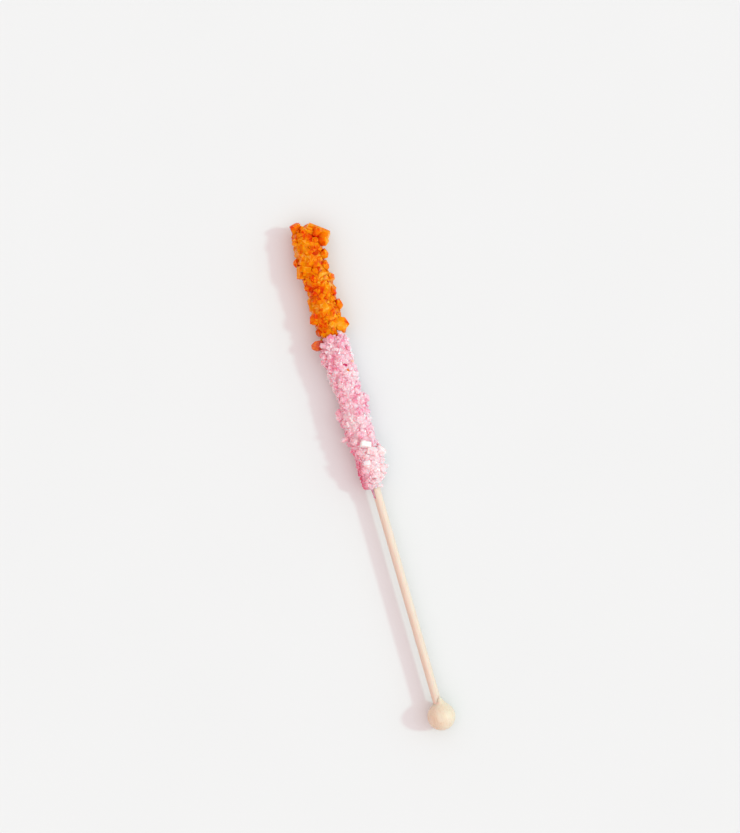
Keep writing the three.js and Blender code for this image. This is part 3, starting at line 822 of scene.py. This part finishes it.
def node(tree, kind, inputs=None, stops=(), **settings):
    """Adds a node. Settings are its properties, inputs are values or other nodes' outputs, stops a ramp's."""
    made = tree.nodes.new("ShaderNode" + kind)
    for name, value in settings.items():
        setattr(made, name, value)
    for name, value in (inputs or {}).items():
        if isinstance(value, bpy.types.NodeSocket):
            tree.links.new(value, made.inputs[name])
        else:
            made.inputs[name].default_value = value
    for number, (position, colour) in enumerate(stops):
        band = made.color_ramp.elements[number] if number < 2 else made.color_ramp.elements.new(position)
        band.position, band.color = position, linear(colour)
    return made


def finished_material(name, build, **values):
    """A material whose Principled sockets are the values, or the outputs that build makes for its tree."""
    material = bpy.data.materials.new(name)
    material.use_nodes = True
    tree = material.node_tree
    shader = tree.nodes["Principled BSDF"]
    for socket, value in {**values, **build(tree)}.items():
        if isinstance(value, bpy.types.NodeSocket):
            tree.links.new(value, shader.inputs[socket.replace("_", " ")])
        else:
            shader.inputs[socket.replace("_", " ")].default_value = value
    return material


def per_mm(size):
    """Texture scale for a pattern whose features are this many millimetres across."""
    return 1 / (size * MM)


print("linear of #808080 is", round(linear("#808080")[0], 3))

# %% [markdown]
# ## Rock sugar
# Rock sugar is clear sucrose crystal with a little food dye, clouded inside by trapped syrup. Light goes in,
# is scattered by the cloud and comes out nearby, coloured by the dye: subsurface scattering under a hard gloss
# at sucrose's IOR of 1.54. A facet shows what lies behind it; the facet and crystal marks stand in for that
# with a random tone for each, so these tones are partly a painted reflection. In crevices a deeper colour is
# mixed in as painted shade, where an ambient occlusion node finds other crystals near.

# %% Colour of the facets
MARKS = ("facet", "crystal", "depth", "dye", "clear", "along", "across")
CLOUD, PATCH = (1.3, 3.0), (4.5, 1.0)  # millimetres and detail: inside a crystal, and over several
# Crevices get a painted shade: a crevice colour mixed in where ambient occlusion finds other sugar near.
CREVICE_SHADE_REACH = 1.3  # millimetres to other sugar
OPEN_FACE, CREVICE = 0.9, 0.4  # the open share on a face and in a crevice
MIDDLE_TONE = 0.45  # of the ramp, where all marks are at their middle


def facet_colour(tree, tones, weights, crevice, crevice_shade_share):
    """Tone = weighted facet, crystal, cloud and patch, through a ramp, then painted crevice shade mixed in."""
    place = node(tree, "TexCoord").outputs["Object"]
    marks = {label: node(tree, "Attribute", attribute_name=label).outputs["Fac"] for label in MARKS}
    noises = ({"Vector": place, "Scale": per_mm(size), "Detail": detail} for size, detail in (CLOUD, PATCH))
    cloud, patch = (node(tree, "TexNoise", noise).outputs["Fac"] for noise in noises)
    tone = MIDDLE_TONE - sum(weights) / 2
    for mark, weight in zip((marks["facet"], marks["crystal"], cloud, patch), weights):
        tone = node(tree, "Math", {0: mark, 1: weight, 2: tone}, operation="MULTIPLY_ADD").outputs[0]
    colour = node(tree, "ValToRGB", {"Fac": tone}, stops=tones).outputs["Color"]
    near = {"Distance": CREVICE_SHADE_REACH * MM}
    open_share = node(tree, "AmbientOcclusion", near, samples=6, only_local=True).outputs["AO"]
    shade_range = {"Value": open_share, "From Min": OPEN_FACE, "From Max": CREVICE, "To Max": crevice_shade_share}
    painted_crevice_shade = {0: node(tree, "MapRange", shade_range).outputs[0], 6: colour, 7: linear(crevice)}
    return place, marks, cloud, node(tree, "Mix", painted_crevice_shade, data_type="RGBA").outputs[2]


print("a crevice is where other sugar is within", CREVICE_SHADE_REACH, "mm")

# %% Surface of grown sugar
SWELL, GROWTH_GRAIN = (1.2, 0.0, 0.15), (0.45, 2.0, 0.02)  # millimetres across, detail, millimetres high
GLOSS = (0.08, 0.3)  # roughness, from the clear parts to the clouded ones


def sugar_surface(tree, place, cloud, colour):
    """Sockets of grown sugar: its colour, a gloss that varies with the cloud, swollen faces and a grain."""
    relief = {}
    for size, detail, height in (SWELL, GROWTH_GRAIN):
        noise = node(tree, "TexNoise", {"Vector": place, "Scale": per_mm(size), "Detail": detail})
        relief.update({"Height": noise.outputs["Fac"], "Distance": height * MM})
        relief["Normal"] = node(tree, "Bump", relief).outputs[0]
    gloss = node(tree, "MapRange", {"Value": cloud, "To Min": GLOSS[0], "To Max": GLOSS[1]}).outputs[0]
    return {"Base Color": colour, "Roughness": gloss, "Normal": relief["Normal"]}


print("facets swell by", SWELL[2], "mm and carry a grain of", GROWTH_GRAIN[2], "mm")

# %% Orange rock sugar
# Tones fall at random by facet; the palest partly stand for what a facet mirrors, a painted reflection.
ORANGE_TONES = [(0.0, "#DA3400"), (0.3, "#E67000"), (0.65, "#EA9600"), (1.0, "#F2B044")]
ORANGE_WEIGHTS = (0.55, 0.35, 0.8, 1.2)  # of the facet, the crystal, the cloud and the patch


def orange_build(tree):
    """Warm orange facets with painted red-orange shade in crevices, and redder where the dye mark says so."""
    # The crevice colour here is painted shade in the orange's crevices, at full share.
    place, marks, cloud, colour = facet_colour(tree, ORANGE_TONES, ORANGE_WEIGHTS, "#C41800", 1.0)
    # The dye mark's red here is painted shade, partly a random tone on small crystals in crevices.
    deeper = {0: marks["dye"], 6: colour, 7: linear("#C02000")}
    colour = node(tree, "Mix", deeper, data_type="RGBA").outputs[2]
    return sugar_surface(tree, place, cloud, colour)


orange_rock_sugar = finished_material(
    "orange_rock_sugar", orange_build, IOR=1.54, Subsurface_Weight=1.0, Subsurface_Scale=1.8 * MM,
    Subsurface_Radius=(1.0, 0.18, 0.07), Specular_IOR_Level=0.25, Specular_Tint=linear("#FFB468"),
)
print(orange_rock_sugar.name, "has", len(orange_rock_sugar.node_tree.nodes), "nodes")

# %% [markdown]
# ## The pink's dyes
# The pink took up its dye unevenly. Near the neck it is deep rose on the left and nearly white on the right,
# and further up its left side has rose stains. The stick's left faces away from the key, so that rose is
# painted shade and that white painted light; the stains are random patches kept to the left, so they are
# partly painted shade. A few crystals are nearly clear and nearly white, which is partly a painted highlight.
# Other syrups dyed the knob, pink at its root, then red-brown, then golden, and the specks and the trickle
# magenta or orange. Each of these is one more Mix over the pink.

# %% Pink rock sugar
# The pink's palest tones, its sparkle, are partly a painted reflection too.
PINK_TONES = [(0.0, "#E48CA6"), (0.3, "#EABEC8"), (0.6, "#ECD2D6"), (0.95, "#EEE0DE")]
PINK_WEIGHTS = (0.3, 0.3, 0.6, 1.4)
KNOB_TONES = [(0.0, "#E88490"), (0.4, "#B82C12"), (0.72, "#D05606"), (1.0, "#E47A10")]
KNOB_FADE = {"From Min": 0.4, "From Max": -2.2, "To Min": -0.35, "To Max": 0.45}  # by depth, root to end
KNOB_CLOUD, KNOB_CLEAR = 1.1, 0.8  # what the cloud and the clear mark add to its tone
# The across fades pick the sides: painted shade on the left, away from the key, painted light on the right.
DYE_AND_SHADE_FADES = (  # mark, where the dye is none and where it is full, in millimetres
    ("along", CANDY_START + 20, CANDY_START + 6),
    ("across", 3, -3),
    ("across", 1.4, 5.4),
)
STAIN_SIZE = 9  # millimetres
STAIN = {"From Min": 0.5, "From Max": 0.62, "To Max": 0.25}


def pink_build(tree):
    """Pale pink facets, then painted shade (stains, the neck's rose), painted light (its white), clear ones,
    dyes.
    """
    # The crevice colour here is painted shade in the pink's crevices, at a share of 0.45.
    place, marks, cloud, colour = facet_colour(tree, PINK_TONES, PINK_WEIGHTS, "#EC7098", 0.45)
    fades = ({"Value": marks[mark], "From Min": none, "From Max": full} for mark, none, full in DYE_AND_SHADE_FADES)
    start, right, left = (node(tree, "MapRange", fade).outputs[0] for fade in fades)
    stain = {"Vector": place, "Scale": per_mm(STAIN_SIZE), "Detail": 0.0}
    stain = {"Value": node(tree, "TexNoise", stain).outputs["Fac"], **STAIN}
    stain = node(tree, "MapRange", stain).outputs[0]
    # Painted shade: the stains, random but kept to the left, and the neck's rose; painted light: the neck's
    # white.
    for share, factor, tint in (
        (stain, left, "#E06890"),
        (start, left, "#DA4878"),
        (start, right, "#EED0D2"),
        # the clear ones' near white: pale sugar, and partly a painted highlight
        (marks["clear"], 1.0, "#EEE6E2"),
    ):
        share = node(tree, "Math", {0: share, 1: factor}, operation="MULTIPLY").outputs[0]
        colour = node(tree, "Mix", {0: share, 6: colour, 7: linear(tint)}, data_type="RGBA").outputs[2]
    tone = node(tree, "MapRange", {"Value": marks["depth"], **KNOB_FADE}).outputs[0]
    for mark, weight in ((cloud, KNOB_CLOUD), (marks["clear"], KNOB_CLEAR)):
        tone = node(tree, "Math", {0: mark, 1: weight, 2: tone}, operation="MULTIPLY_ADD").outputs[0]
    knob = node(tree, "ValToRGB", {"Fac": tone}, stops=KNOB_TONES).outputs["Color"]
    for dye, dyed in ((ORANGE_DYE, knob), (MAGENTA_DYE, linear("#B81058"))):
        share = node(tree, "Math", {0: marks["dye"], 1: dye}, operation="MULTIPLY", use_clamp=True).outputs[0]
        colour = node(tree, "Mix", {0: share, 6: colour, 7: dyed}, data_type="RGBA").outputs[2]
    return sugar_surface(tree, place, cloud, colour)


pink_rock_sugar = finished_material(
    "pink_rock_sugar", pink_build, IOR=1.54, Subsurface_Weight=1.0, Subsurface_Scale=2.4 * MM,
    Subsurface_Radius=(1.0, 0.4, 0.45), Specular_IOR_Level=0.4,
)
for body, sugar in ((candy_pink, pink_rock_sugar), (candy_orange, orange_rock_sugar)):
    body.data.materials.clear()
    body.data.materials.append(sugar)
    print(body.name, "is", sugar.name)

# %% [markdown]
# ## Birch
# Birch is pale, close-grained and nearly even: fine darker streaks run along the dowel and through the bead,
# which was turned with the grain on its axis. A noise stretched along the stick gives the streaks, and a
# second one the slow drift between cream and warm beige. Bare wood is matt, and the bead a little less so,
# because the lathe polished it.

# %% Birch materials
STRETCH = (0.05, 1.0, 1.0)  # a streak is twenty times as long as it is wide
STREAK_SIZE = 0.35  # millimetres: birch's fibres are finer, and are drawn as coarse as they need to show
DRIFT_SIZE = 2.2
GRAIN_DEPTH = 0.03


def birch_build(tree, pale, warm, streak):
    """The grain is noise squeezed across the stick and stretched along it."""
    place = node(tree, "TexCoord").outputs["Object"]
    lengthwise = node(tree, "Mapping", {"Vector": place, "Scale": STRETCH}).outputs[0]
    fibre = {"Vector": lengthwise, "Scale": per_mm(STREAK_SIZE), "Detail": 4.0, "Roughness": 0.65}
    fine = node(tree, "TexNoise", fibre).outputs["Fac"]
    drift = {"Vector": lengthwise, "Scale": per_mm(DRIFT_SIZE), "Detail": 2.0}
    slow = node(tree, "TexNoise", drift).outputs["Fac"]
    dark = {"Value": fine, "From Min": 0.48, "From Max": 0.78, "To Max": 0.55}
    streaks = node(tree, "MapRange", dark).outputs[0]
    colour = linear(pale)
    for share, shade in ((slow, warm), (streaks, streak)):
        colour = node(tree, "Mix", {0: share, 6: colour, 7: linear(shade)}, data_type="RGBA").outputs[2]
    grain = {"Height": fine, "Strength": 0.35, "Distance": GRAIN_DEPTH * MM}
    return {"Base Color": colour, "Normal": node(tree, "Bump", grain).outputs[0]}


BIRCH = dict(IOR=1.5, Subsurface_Weight=0.4, Subsurface_Radius=(1.0, 0.5, 0.35), Subsurface_Scale=0.6 * MM)
for rod, name, roughness, shades in (
    (dowel, "sanded_birch", 0.6, ("#E5D3C4", "#DFC6B3", "#CFAE93")),
    (bead, "turned_birch", 0.45, ("#E8D8C4", "#E0C8AD", "#CCA682")),
):
    rod.data.materials.append(
        finished_material(name, lambda tree: birch_build(tree, *shades), Roughness=roughness, **BIRCH)
    )
    print(rod.name, "is", name)

# %% [markdown]
# ## What rides on what
# Nothing on the stick moves by itself, so every piece rides on the one body, and each replaces the plain
# solid of the same thing.

# %% Tie the pieces to the frame
for piece, cad_node, slot in (
    (dowel, "dowel", "birch_dowel"),
    (bead, "bead", "birch_bead"),
    (candy_pink, "candy_pink", "pink_sugar"),
    (candy_orange, "candy_orange", "orange_sugar"),
):
    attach(piece, "root")
    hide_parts(cad_node)
    print(piece.name, "stands for", cad_node)

# %% [markdown]
# ## Table, light and camera
# A pale table, a soft key from the right and a strong fill from all round keep the shadows light. The room is
# brighter overhead than at its walls. Its light is cool and bright on the right towards the top and warm and
# dimmer on the left, so the shadows, which fall to the left, are warm. Round the key there is a wide lit
# panel, which is what the tilted facets mirror.

# %% The table
FLOOR_HALF = 30.0  # metres, so that its edge is at the horizon in a low view
MOTTLE_SIZE = 60  # millimetres


def board_build(tree):
    """Painted board: pale grey, matt, with a trace of mottle."""
    place = node(tree, "TexCoord").outputs["Object"]
    mottle = {"Vector": place, "Scale": per_mm(MOTTLE_SIZE), "Detail": 2.0}
    mottle = node(tree, "TexNoise", mottle).outputs["Fac"]
    shades = {0: mottle, 6: linear("#E1E1E1"), 7: linear("#E3E3E3")}
    return {"Base Color": node(tree, "Mix", shades, data_type="RGBA").outputs[2]}


corners = [(x * FLOOR_HALF, y * FLOOR_HALF, 0) for x, y in ((-1, -1), (1, -1), (1, 1), (-1, 1))]
floor = shown(mesh_from("table_top", corners, [(0, 1, 2, 3)]))
painted_board = finished_material("painted_board", board_build, Roughness=0.9, Specular_IOR_Level=0.0)
floor.data.materials.append(painted_board)
print("the table is", 2 * FLOOR_HALF, "m wide")

# %% The key light
PICTURE_TILT = math.radians(16.05)  # the stick leans this far from upright, its tip to the left
picture_right = np.array([-math.sin(PICTURE_TILT), -math.cos(PICTURE_TILT), 0])
picture_up = np.array([math.cos(PICTURE_TILT), -math.sin(PICTURE_TILT), 0])
KEY_ELEVATION = math.radians(38)
KEY_TURN = math.radians(8)  # from the right towards the top
KEY_WIDTH = math.radians(6)
KEY_COLOUR = (0.5, 1.0, 0.91)  # it makes up for the room's red and blue
from_key = math.cos(KEY_ELEVATION) * (math.cos(KEY_TURN) * picture_right + math.sin(KEY_TURN) * picture_up)
from_key[2] = math.sin(KEY_ELEVATION)

key = bpy.data.lights.new("key", "SUN")
key.energy, key.angle, key.color = 1.0, KEY_WIDTH, KEY_COLOUR
key_light = shown(key)
key_light.rotation_mode = "QUATERNION"
key_light.rotation_quaternion = Vector(from_key).to_track_quat("Z", "Y")
print("key comes from", from_key.round(2))

# %% The room
PANEL_EDGE, PANEL_CORE = math.radians(24), math.radians(14)
PANEL_GLOW = 0.8
WALL_LIGHT, CEILING_LIGHT = 0.75, 1.25
WALL_TOP = 0.3  # how high the walls reach, as the height of a direction's unit vector
WINDOW_TURN = math.radians(30)  # the room is brighter on this side, from the right towards the top
WARM_SIDE, WINDOW_SIDE = (0.98, 0.7, 0.66, 1), (1.04, 1.12, 1.18, 1)

room = bpy.data.worlds.new("room")
bpy.context.scene.world = room
room.use_nodes = True
tree = room.node_tree
ray = node(tree, "TexCoord").outputs["Generated"]
height = node(tree, "SeparateXYZ", {0: ray}).outputs["Z"]
walls = {"Value": height, "From Min": WALL_TOP, "To Min": WALL_LIGHT, "To Max": CEILING_LIGHT}
walls = node(tree, "MapRange", walls, interpolation_type="SMOOTHSTEP").outputs[0]
bright_side = math.cos(WINDOW_TURN) * picture_right + math.sin(WINDOW_TURN) * picture_up
near_key, side = (
    node(tree, "VectorMath", {0: ray, 1: way}, operation="DOT_PRODUCT").outputs["Value"]
    for way in (from_key, bright_side)
)
panel = {"From Min": math.cos(PANEL_EDGE), "From Max": math.cos(PANEL_CORE), "To Max": PANEL_GLOW}
panel = {"Value": near_key, **panel}
glow = node(tree, "MapRange", panel, interpolation_type="SMOOTHSTEP").outputs[0]
strength = node(tree, "Math", {0: walls, 1: glow}, operation="ADD").outputs[0]
share = node(tree, "MapRange", {"Value": side, "From Min": -1.0}).outputs[0]
tint = node(tree, "Mix", {0: share, 6: WARM_SIDE, 7: WINDOW_SIDE}, data_type="RGBA").outputs[2]
tree.links.new(strength, tree.nodes["Background"].inputs["Strength"])
tree.links.new(tint, tree.nodes["Background"].inputs["Color"])
bpy.context.scene.view_settings.view_transform = "Standard"
print("the room is brightest towards", bright_side.round(2))

# %% Camera
PIXEL = 0.3636  # millimetres on the table for one pixel of the picture
PICTURE = (740, 833)
NECK = (376, 489)  # where the last sugar on the dowel ends, in the picture's pixels
NECK_ALONG = 91.1  # and along the stick
LENS, SENSOR = 100.0, 36.0
NEAREST = 0.01  # metres

neck = placed([[NECK_ALONG, 0, 0]])[0] / MM
to_middle = np.array(PICTURE) / 2 - NECK
aim = neck + PIXEL * (to_middle[0] * picture_right - to_middle[1] * picture_up)
distance = PICTURE[1] * PIXEL * LENS / SENSOR
camera = bpy.data.cameras.new("camera")
camera.lens, camera.sensor_width, camera.clip_start = LENS, SENSOR, NEAREST
camera_object = shown(camera)
camera_object.location = (aim + (0, 0, distance)) * MM
camera_object.rotation_mode = "QUATERNION"
camera_axes = Matrix(np.column_stack([picture_right, picture_up, (0, 0, 1)]))
camera_object.rotation_quaternion = camera_axes.to_quaternion()
bpy.context.scene.camera = camera_object
print("camera", round(distance), "mm above", aim.round(1))
